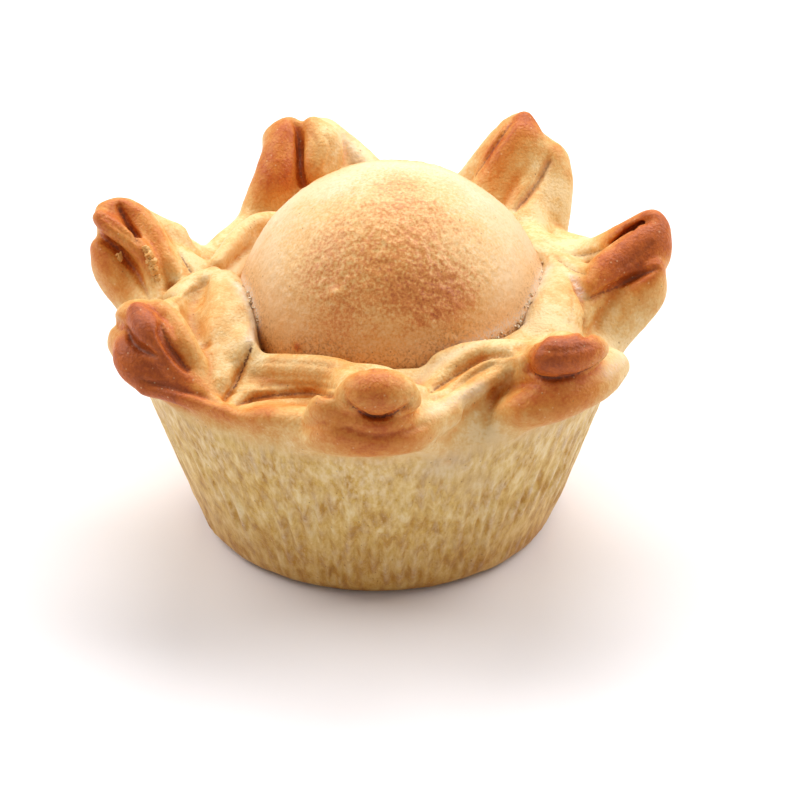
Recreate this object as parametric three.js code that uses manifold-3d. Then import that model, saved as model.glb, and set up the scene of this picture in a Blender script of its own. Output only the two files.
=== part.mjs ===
// A chicken pie baked in a fluted cup: a tapered pastry case, a domed lid, and a rim of spare
// pastry pleated into seven horns, with the pleats between them pressed against the lid.
// Millimetres, +Z up, the origin at the middle of the flat base, the viewer on the -Y side.
import * as THREE from "three";
import { mergeVertices } from "three/addons/utils/BufferGeometryUtils.js";
import Module from "manifold-3d";

// The case: a cup with a flat base and slanting, finely ribbed sides.
const BASE_RADIUS = 28.6;
const BASE_EDGE_ROUND = 1.6;
const WALL_SLOPE = 0.35;
const RIB_COUNT = 96;
const RIB_DEPTH = 0.3;
const RIB_TOP = 25;

// The rim between two horns: its rounded lip, and the foot of the pleats against the lid.
const LIP_RADIUS = 39.4;
const LIP_HEIGHT = 34.6;
const LIP_THICK = 2.4;
const LIP_ROUND = 0.8;
const FOOT_RADIUS = 27;
const FOOT_HEIGHT = 38.2;

// The lid: a dome that stands a little to the right of the case's middle.
const LID_OFFSET = 2.6;
const LID_RADIUS = 25.5;
const LID_RISE = 26.4;
const LID_SPRING = 34.2;
const LID_FLOOR = 31;
const LID_GAP = 0.3;

// The horns, counter-clockwise from the right. Angles are in degrees from +X, lengths in mm.
// The ledge is the broad fold that sweeps out of the side of the case: its end, its width, how
// far it is turned from the horn, and how far its underside slants. On it stands a hairpin of
// pastry: out along one side of the horn, round its tip and back along the other. reach and rise
// place the tip, root and rootTurn say where it leaves the lid, spread parts its two arms, which
// are thick across and tall, and lift raises the second arm. Before the horn the same pastry
// lies against the lid, flap thick at flapHeight. After it the second arm follows the rim at
// tuckRadius and tuckHeight for a share of the gap, over a shoulder raised by tuckFill, and ends
// under the next horn. cheek is the swelling behind the horn.
const HORNS = [
  { azimuth: 6, ledgeReach: 46.8, ledgeRise: 40.4, ledgeWide: 7.8, ledgeTurn: -5, ledgeSlant: 4,
    reach: 47.8, rise: 46.0, root: 40, rootTurn: 14, spread: 2.9, thick: 3.1, tall: 3.6, lift: 1.0,
    flap: 4.8, flapHeight: 38.6, cheek: 3.4,
    tuckRadius: 34.5, tuckHeight: 36, tuckShare: 0.6, tuckFill: 0.6 },
  { azimuth: 53, ledgeReach: 45.8, ledgeRise: 43.2, ledgeWide: 9.6, ledgeTurn: -1, ledgeSlant: 4,
    reach: 45.6, rise: 46.6, root: 40, rootTurn: 12, spread: 4.0, thick: 4.4, tall: 4.4, lift: 3.8,
    flap: 2.8, flapHeight: 38.2, cheek: 3.4,
    tuckRadius: 34.5, tuckHeight: 36, tuckShare: 0.6, tuckFill: 0.6 },
  { azimuth: 108, ledgeReach: 45.4, ledgeRise: 43.0, ledgeWide: 9.6, ledgeTurn: 0, ledgeSlant: 4,
    reach: 44.8, rise: 46.5, root: 40, rootTurn: 12, spread: 3.6, thick: 4.3, tall: 4.2, lift: 0.6,
    flap: 3.0, flapHeight: 37.6, cheek: 3.4,
    tuckRadius: 34.5, tuckHeight: 36, tuckShare: 0.6, tuckFill: 0.6 },
  { azimuth: 163, ledgeReach: 47.4, ledgeRise: 40.2, ledgeWide: 7.8, ledgeTurn: 3, ledgeSlant: 4,
    reach: 47.4, rise: 45.4, root: 39, rootTurn: 12, spread: 2.8, thick: 3.4, tall: 3.7, lift: -0.8,
    flap: 3.2, flapHeight: 37.4, cheek: 3.4,
    tuckRadius: 36, tuckHeight: 35.5, tuckShare: 0.6, tuckFill: 0.6 },
  { azimuth: 206, ledgeReach: 45.8, ledgeRise: 39.2, ledgeWide: 9.0, ledgeTurn: 0, ledgeSlant: 2,
    reach: 44.6, rise: 42.5, root: 39, rootTurn: 12, spread: 3.4, thick: 4.0, tall: 4.0, lift: -2.0,
    flap: 4.0, flapHeight: 37.4, cheek: 6.0,
    tuckRadius: 37.6, tuckHeight: 33.6, tuckShare: 0.5, tuckFill: 0 },
  { azimuth: 268, ledgeReach: 45.8, ledgeRise: 39.4, ledgeWide: 10.8, ledgeTurn: 0, ledgeSlant: 0.8,
    reach: 44.6, rise: 44.2, root: 40, rootTurn: 5, spread: 2.2, thick: 3.6, tall: 3.5, lift: 0,
    flap: 2.2, flapHeight: 39.0, cheek: 2.6,
    tuckRadius: 34.6, tuckHeight: 37.6, tuckShare: 0.74, tuckFill: 2.2 },
  { azimuth: 314, ledgeReach: 46.0, ledgeRise: 39.4, ledgeWide: 11.5, ledgeTurn: 5, ledgeSlant: 0.8,
    reach: 45.4, rise: 44.1, root: 41, rootTurn: 6, spread: 2.4, thick: 3.6, tall: 3.7, lift: 0,
    flap: 2.4, flapHeight: 40.2, cheek: 3.0,
    tuckRadius: 36, tuckHeight: 36, tuckShare: 0.6, tuckFill: 0.6 },
];
const LEDGE_THICK = 3.8;
const LEDGE_ROUND = 2.3;
const LEDGE_STEEPNESS = 6;
const SHELF_RADIUS = 36.3;
const ROOT_RADIUS = 32;
const OUT_MIDDLE = 0.5;
const BACK_MIDDLE = 0.65;
const TIP_SHARE = 0.6;
const TIP_PINCH = 0.8;
const FLAP_SHARE = 0.74;
const FLAP_RISE = 1.2;
const FLAP_TALL = 3.4;
const CHEEK_TURN = 24;
const CHEEK_DROP = 1;
const TUCK_THICK = 2.6;
const TUCK_DIP = 1;
const FILL_TURN = 24;
const FILL_WIDE = 9;
const SHOULDER_INDEX = 3;

// How finely the round forms are faceted.
const RIM_STEPS = 10;
const LID_STEPS = 10;
const LID_SIDES = 48;
const ROLL_SIDES = 10;
const OUT_RINGS = 15;
const BACK_RINGS = 12;
const TIP_RINGS = 6;
const CHEEK_RINGS = 8;

const UP = new THREE.Vector3(0, 0, 1);
const FULL_TURN = 360;
const wasm = await Module();
wasm.setup();

const radians = THREE.MathUtils.degToRad;

function around(azimuth, radius, height) {
  const angle = radians(azimuth);
  return new THREE.Vector3(radius * Math.cos(angle), radius * Math.sin(angle), height);
}

// The turn from one azimuth to another, between minus and plus half a turn.
function turnFrom(first, second) {
  return THREE.MathUtils.euclideanModulo(second - first + FULL_TURN / 2, FULL_TURN) - FULL_TURN / 2;
}

function solidOf(geometry) {
  const bare = geometry.clone();
  bare.deleteAttribute("normal");
  bare.deleteAttribute("uv");
  const merged = mergeVertices(bare);
  const mesh = new wasm.Mesh({
    numProp: 3,
    vertProperties: new Float32Array(merged.attributes.position.array),
    triVerts: new Uint32Array(merged.index.array),
  });
  return new wasm.Manifold(mesh);
}

// The largest closed body of a solid, without loose scraps or sealed hollows.
function mainBody(solid) {
  const bodies = solid.decompose();
  bodies.sort((first, second) => second.volume() - first.volume());
  return bodies[0];
}

function geometryOf(solid) {
  const mesh = solid.getMesh();
  const geometry = new THREE.BufferGeometry();
  geometry.setAttribute("position", new THREE.BufferAttribute(mesh.vertProperties, mesh.numProp));
  geometry.setIndex(new THREE.BufferAttribute(mesh.triVerts, 1));
  geometry.computeVertexNormals();
  return geometry;
}

// How much of a horn's ledge shows at an azimuth: one along its middle, none in the gaps.
function ledgeShare(horn, azimuth, width) {
  const turn = turnFrom(horn.azimuth + horn.ledgeTurn, azimuth);
  const aside = radians(turn) * horn.ledgeReach / width;
  return 1 / (1 + aside ** LEDGE_STEEPNESS);
}

// How much of the raised shoulder after a horn shows at an azimuth.
function fillShare(horn, azimuth) {
  const turn = turnFrom(horn.azimuth + FILL_TURN, azimuth);
  const aside = radians(turn) * horn.tuckRadius / FILL_WIDE;
  return 1 / (1 + aside ** LEDGE_STEEPNESS);
}

// The rim's section at an azimuth, from the top of the wall over the lip to the lid. Each point
// is a place on the plain lip, drawn out to the same place on the ledges of the horns nearby.
function rimSection(azimuth) {
  const wallTop = LIP_HEIGHT - 2 * LIP_THICK;
  const wallRadius = BASE_RADIUS + WALL_SLOPE * wallTop;
  const plain = [
    new THREE.Vector2(wallRadius, wallTop),
    new THREE.Vector2(LIP_RADIUS, LIP_HEIGHT - LIP_THICK),
    new THREE.Vector2(LIP_RADIUS - LIP_ROUND, LIP_HEIGHT),
    new THREE.Vector2(LIP_RADIUS - 4 * LIP_ROUND, LIP_HEIGHT + LIP_THICK / 2),
    new THREE.Vector2((LIP_RADIUS + FOOT_RADIUS) / 2, (LIP_HEIGHT + FOOT_HEIGHT) / 2),
    new THREE.Vector2(FOOT_RADIUS, FOOT_HEIGHT),
  ];
  const section = plain.map((point) => point.clone());
  HORNS.forEach((horn) => {
    const underHeight = horn.ledgeRise - LEDGE_THICK - horn.ledgeSlant;
    const underRadius = BASE_RADIUS + WALL_SLOPE * underHeight;
    const ledge = [
      { radius: underRadius, height: underHeight, width: 1 },
      { radius: horn.ledgeReach - LEDGE_ROUND, height: horn.ledgeRise - LEDGE_THICK, width: 1 },
      { radius: horn.ledgeReach, height: horn.ledgeRise, width: 0.95 },
      { radius: horn.ledgeReach - LEDGE_ROUND, height: horn.ledgeRise + LEDGE_THICK, width: 0.85 },
      { radius: SHELF_RADIUS, height: horn.ledgeRise + LEDGE_THICK, width: 0.75 },
      { radius: FOOT_RADIUS, height: FOOT_HEIGHT + LIP_THICK / 2, width: 1 },
    ];
    ledge.forEach(({ radius, height, width }, index) => {
      const share = ledgeShare(horn, azimuth, width * horn.ledgeWide);
      const pull = new THREE.Vector2(radius, height).sub(plain[index]);
      section[index].addScaledVector(pull, share);
    });
    const fill = horn.tuckFill * fillShare(horn, azimuth);
    section[SHOULDER_INDEX].y += fill;
    section[SHOULDER_INDEX + 1].y += fill;
  });
  return new THREE.SplineCurve(section);
}

// The whole case below the rolls, one column of points for each side of each rib.
function caseBody() {
  const edge = BASE_EDGE_ROUND;
  const edgeMiddle = edge * (1 - Math.SQRT1_2);
  const wall = [
    new THREE.Vector2(0, 0),
    new THREE.Vector2(BASE_RADIUS - edge, 0),
    new THREE.Vector2(BASE_RADIUS - edgeMiddle, edgeMiddle),
    new THREE.Vector2(BASE_RADIUS + WALL_SLOPE * edge, edge),
    new THREE.Vector2(BASE_RADIUS + WALL_SLOPE * RIB_TOP, RIB_TOP),
  ];
  const firstRibbedRow = 2;
  const columns = RIB_COUNT * 2;
  const rows = wall.length + RIM_STEPS + 2;
  const blank = Array.from({ length: rows }, (_, row) => new THREE.Vector2(row, row));
  const cup = new THREE.LatheGeometry(blank, columns);
  const spots = cup.attributes.position;
  for (let column = 0; column <= columns; column += 1) {
    const azimuth = FULL_TURN * (column / columns);
    const ribRelief = (column % 2 === 0 ? RIB_DEPTH : -RIB_DEPTH) / 2;
    const rim = rimSection(azimuth);
    for (let row = 0; row < rows; row += 1) {
      let point = new THREE.Vector2(0, FOOT_HEIGHT);
      if (row < wall.length) {
        point = wall[row].clone();
        point.x += row >= firstRibbedRow ? ribRelief : 0;
      } else if (row < rows - 1) {
        point = rim.getPoint((row - wall.length) / RIM_STEPS);
      }
      const place = around(azimuth, point.x, point.y);
      spots.setXYZ(column * rows + row, place.x, place.y, place.z);
    }
  }
  return solidOf(cup);
}

// The lid's dome; grown by a margin, it is also the hollow that the pleats leave for it.
function lidDome(margin) {
  const profile = [
    new THREE.Vector2(0, LID_FLOOR - margin),
    new THREE.Vector2(LID_RADIUS + margin, LID_FLOOR - margin),
  ];
  for (let step = 0; step <= LID_STEPS; step += 1) {
    const angle = (Math.PI / 2) * (step / LID_STEPS);
    const radius = step === LID_STEPS ? 0 : (LID_RADIUS + margin) * Math.cos(angle);
    profile.push(new THREE.Vector2(radius, LID_SPRING + (LID_RISE + margin) * Math.sin(angle)));
  }
  const dome = new THREE.LatheGeometry(profile, LID_SIDES);
  dome.rotateX(Math.PI / 2);
  dome.translate(LID_OFFSET, 0, 0);
  return solidOf(dome);
}

// A roll of dough: a ball drawn out along a curve through the stations, each a place with the
// roll's half width and half height there. Its ends are rounded over a length.
function doughRoll(stations, rings, rounding) {
  const curve = new THREE.CatmullRomCurve3(stations.map((station) => station.place));
  const length = curve.getLength();
  const ball = new THREE.SphereGeometry(1, ROLL_SIDES, rings);
  const spots = ball.attributes.position;
  for (let spot = 0; spot < spots.count; spot += 1) {
    const across = spots.getX(spot);
    const over = spots.getZ(spot);
    const girth = Math.hypot(across, over);
    const along = Math.atan2(girth, spots.getY(spot)) / Math.PI;
    const reached = curve.getUtoTmapping(along) * (stations.length - 1);
    const before = stations[Math.min(Math.floor(reached), stations.length - 2)];
    const after = stations[stations.indexOf(before) + 1];
    const share = reached - stations.indexOf(before);
    const wide = THREE.MathUtils.lerp(before.wide, after.wide, share);
    const tall = THREE.MathUtils.lerp(before.tall, after.tall, share);
    const toEnd = Math.min(1, (Math.min(along, 1 - along) * length) / rounding);
    const swell = girth > Number.EPSILON ? Math.sqrt(toEnd * (2 - toEnd)) / girth : 0;
    const forward = curve.getTangentAt(along);
    const sideways = new THREE.Vector3().crossVectors(UP, forward).normalize();
    const upwards = new THREE.Vector3().crossVectors(forward, sideways);
    const place = curve.getPointAt(along);
    place.addScaledVector(sideways, across * swell * wide);
    place.addScaledVector(upwards, over * swell * tall);
    spots.setXYZ(spot, place.x, place.y, place.z);
  }
  return solidOf(ball);
}

// A point that lies against the lid at an azimuth and height, with half of a roll's width sunk in.
function againstLid(azimuth, width, height) {
  const lift = (height - LID_SPRING) / LID_RISE;
  const radius = LID_RADIUS * Math.sqrt(1 - lift * lift) + width / 2;
  const place = around(azimuth, radius, height);
  place.x += LID_OFFSET;
  return place;
}

// The hairpin of a horn, in three rolls: one that lies against the lid across most of the gap
// before the horn and runs out to the tip, one across the tip, and one that runs back from it and
// follows the rim until the next hairpin covers it.
function hornFold(horn, gapBefore, gapAfter) {
  const { azimuth, thick, tall, spread, lift } = horn;
  const tipRadius = horn.reach - thick;
  const aside = around(azimuth + 90, 1, 0);
  const onLid = (turn, height) => {
    const place = againstLid(azimuth - turn, horn.flap, height);
    return { place, wide: horn.flap, tall: FLAP_TALL };
  };
  const onArm = (share, sideways, raised) => {
    const radius = THREE.MathUtils.lerp(ROOT_RADIUS, tipRadius, share);
    const height = THREE.MathUtils.lerp(horn.root, horn.rise, share) + raised;
    const place = around(azimuth, radius, height).addScaledVector(aside, sideways);
    return { place, wide: thick, tall };
  };
  const onRim = (turn, height) => {
    const place = around(azimuth + turn, horn.tuckRadius, height);
    return { place, wide: TUCK_THICK, tall: TUCK_THICK };
  };
  const flapTurn = gapBefore * FLAP_SHARE;
  const tuckTurn = gapAfter * horn.tuckShare;
  const rootSpread = radians(horn.rootTurn) * ROOT_RADIUS;
  const armEnd = (horn.reach - ROOT_RADIUS) / (tipRadius - ROOT_RADIUS);
  const outwards = [
    onLid(flapTurn, horn.flapHeight - FLAP_RISE),
    onLid((flapTurn + horn.rootTurn) / 2, horn.flapHeight),
    onArm(0, -rootSpread, 0),
    onArm(OUT_MIDDLE, -spread, 0),
    onArm(armEnd, -spread * TIP_PINCH, 0),
  ];
  const acrossTip = [
    onArm(1, -spread - TIP_SHARE * thick, 0),
    onArm(1, 0, lift / 2),
    onArm(1, spread + TIP_SHARE * thick, lift),
  ];
  const backwards = [
    onArm(armEnd, spread * TIP_PINCH, lift),
    onArm(BACK_MIDDLE, spread, lift / 2),
    onRim((horn.rootTurn + tuckTurn) / 2, horn.tuckHeight),
    onRim(tuckTurn, horn.tuckHeight - TUCK_DIP),
  ];
  return doughRoll(outwards, OUT_RINGS, thick)
    .add(doughRoll(acrossTip, TIP_RINGS, spread + TIP_SHARE * thick))
    .add(doughRoll(backwards, BACK_RINGS, thick));
}

// The swelling behind a horn, which fills the trough between its root and the lid.
function cheekRoll(horn) {
  const height = horn.flapHeight - CHEEK_DROP;
  const stations = [-CHEEK_TURN, 0, CHEEK_TURN].map((turn) => ({
    place: againstLid(horn.azimuth + turn, horn.cheek, height),
    wide: horn.cheek,
    tall: horn.cheek,
  }));
  return doughRoll(stations, CHEEK_RINGS, horn.cheek);
}

function caseSolid() {
  let solid = caseBody();
  HORNS.forEach((horn, index) => {
    const next = HORNS[(index + 1) % HORNS.length];
    const last = HORNS[(index + HORNS.length - 1) % HORNS.length];
    const gapAfter = THREE.MathUtils.euclideanModulo(next.azimuth - horn.azimuth, FULL_TURN);
    const gapBefore = THREE.MathUtils.euclideanModulo(horn.azimuth - last.azimuth, FULL_TURN);
    solid = solid.add(cheekRoll(horn));
    solid = solid.add(hornFold(horn, gapBefore, gapAfter));
  });
  return mainBody(solid.subtract(lidDome(LID_GAP)));
}

const pastry = new THREE.MeshStandardMaterial({ color: "#d9b56f", roughness: 0.8, metalness: 0 });
const browned = new THREE.MeshStandardMaterial({ color: "#c98f4e", roughness: 0.75, metalness: 0 });

const pieCase = new THREE.Mesh(geometryOf(caseSolid()), pastry);
pieCase.name = "case";
const pieLid = new THREE.Mesh(geometryOf(lidDome(0)), browned);
pieLid.name = "lid";

const pie = new THREE.Group();
pie.add(pieCase, pieLid);

export default pie;
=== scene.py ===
import math

import bpy
import numpy as np
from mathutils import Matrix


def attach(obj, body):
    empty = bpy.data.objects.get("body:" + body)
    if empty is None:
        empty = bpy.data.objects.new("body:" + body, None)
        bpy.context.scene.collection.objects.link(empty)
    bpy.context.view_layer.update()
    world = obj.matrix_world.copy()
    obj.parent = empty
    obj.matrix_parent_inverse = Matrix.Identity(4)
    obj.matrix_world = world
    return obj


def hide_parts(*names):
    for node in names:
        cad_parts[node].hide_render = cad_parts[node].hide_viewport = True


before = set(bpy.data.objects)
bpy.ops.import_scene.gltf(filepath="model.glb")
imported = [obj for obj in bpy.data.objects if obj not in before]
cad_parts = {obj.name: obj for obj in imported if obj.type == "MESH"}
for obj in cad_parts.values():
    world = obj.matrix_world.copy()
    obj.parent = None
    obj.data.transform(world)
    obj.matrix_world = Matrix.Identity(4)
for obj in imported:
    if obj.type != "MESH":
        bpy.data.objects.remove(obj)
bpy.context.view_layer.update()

import openvdb
from mathutils import Vector, noise
from mathutils.bvhtree import BVHTree

# The view. The pie is seen from its front and from above, through a long lens that hardly narrows
# it. What the sections below lay on the pie is placed by what this view shows, in pixels. They work
# in millimetres, and a mesh is scaled to metres when it is set.
MILLIMETRE = 0.001
PHOTO_WIDTH = 808
PHOTO_HEIGHT = 794
LENS = 191
SENSOR_WIDTH = 36
VIEW_DISTANCE = 700
VIEW_RISE = math.radians(30)
AIM = np.array([4.4, 0.0, 20.2])
FOCAL_PIXELS = LENS / SENSOR_WIDTH * PHOTO_WIDTH
VIEW_FORWARD = np.array([0.0, math.cos(VIEW_RISE), -math.sin(VIEW_RISE)])
VIEW_RIGHT = np.array([1.0, 0.0, 0.0])
VIEW_UP = np.cross(VIEW_RIGHT, VIEW_FORWARD)
EYE = AIM - VIEW_DISTANCE * VIEW_FORWARD

bpy.ops.object.select_all(action="DESELECT")
bpy.ops.object.camera_add(location=EYE * MILLIMETRE, rotation=(math.pi / 2 - VIEW_RISE, 0, 0))
camera = bpy.context.object
camera.data.lens = LENS
camera.data.sensor_width = SENSOR_WIDTH
camera.data.clip_end = 10
bpy.context.scene.camera = camera


def sight_line(column, row):
    """The direction from the eye through a pixel of the view."""
    aside = (column - PHOTO_WIDTH / 2) / FOCAL_PIXELS
    above = (PHOTO_HEIGHT / 2 - row) / FOCAL_PIXELS
    return VIEW_FORWARD + aside * VIEW_RIGHT + above * VIEW_UP


def seen_at(column, row, depth):
    """The point behind a pixel whose Y is depth."""
    line = sight_line(column, row)
    return EYE + line * (depth - EYE[1]) / line[1]


# The case. Shortcrust pastry pressed into a fluted cup, with its spare edge pleated round the lid
# and pinched into seven horns. It starts from the plain solid and is worked like dough, as distances
# on a grid, because its folds melt into each other: rolls are pressed on and grooves drawn in.
CELL = 0.4
DOUGH_LOW = np.array([-52.0, -52.0, -2.0])
DOUGH_COUNTS = (260, 260, 150)
BAND_CELLS = 10
MELT_ROUNDS = 6


def select_only(piece):
    bpy.ops.object.select_all(action="DESELECT")
    piece.select_set(True)
    bpy.context.view_layer.objects.active = piece


def places_of(piece):
    flat = np.empty(len(piece.data.vertices) * 3)
    piece.data.vertices.foreach_get("co", flat)
    return flat.reshape(-1, 3)


def merged_copy(node, name):
    """A copy of a CAD node's mesh, its loose triangles merged into one skin."""
    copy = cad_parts[node].copy()
    copy.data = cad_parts[node].data.copy()
    copy.parent = None
    copy.name = name
    bpy.context.scene.collection.objects.link(copy)
    select_only(copy)
    bpy.ops.object.mode_set(mode="EDIT")
    bpy.ops.mesh.select_all(action="SELECT")
    bpy.ops.mesh.remove_doubles(threshold=1e-6)
    bpy.ops.mesh.quads_convert_to_tris()
    bpy.ops.object.mode_set(mode="OBJECT")
    return copy


def distance_grid(piece):
    """The distance from every cell of the grid to the skin of a piece, negative inside it."""
    places = (places_of(piece) / MILLIMETRE).astype(np.float32)
    corners = np.empty(len(piece.data.polygons) * 3, np.int32)
    piece.data.polygons.foreach_get("vertices", corners)
    level_set = openvdb.FloatGrid.createLevelSetFromPolygons(
        places, triangles=corners.reshape(-1, 3).astype(np.uint32),
        transform=openvdb.createLinearTransform(voxelSize=CELL), halfWidth=BAND_CELLS,
    )
    distances = np.empty(DOUGH_COUNTS, np.float32)
    level_set.copyToArray(distances, ijk=tuple(int(v) for v in np.rint(DOUGH_LOW / CELL)))
    return distances


def melt(distances, rounds):
    """Softens every edge of the dough a little with each round."""
    for _ in range(rounds):
        for axis in range(3):
            ahead = np.roll(distances, -1, axis)
            behind = np.roll(distances, 1, axis)
            distances = 0.5 * distances + 0.25 * (ahead + behind)
    return distances


plain_case = merged_copy("case", "plain_case")
dough = melt(distance_grid(plain_case), MELT_ROUNDS)
bpy.data.objects.remove(plain_case)

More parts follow.
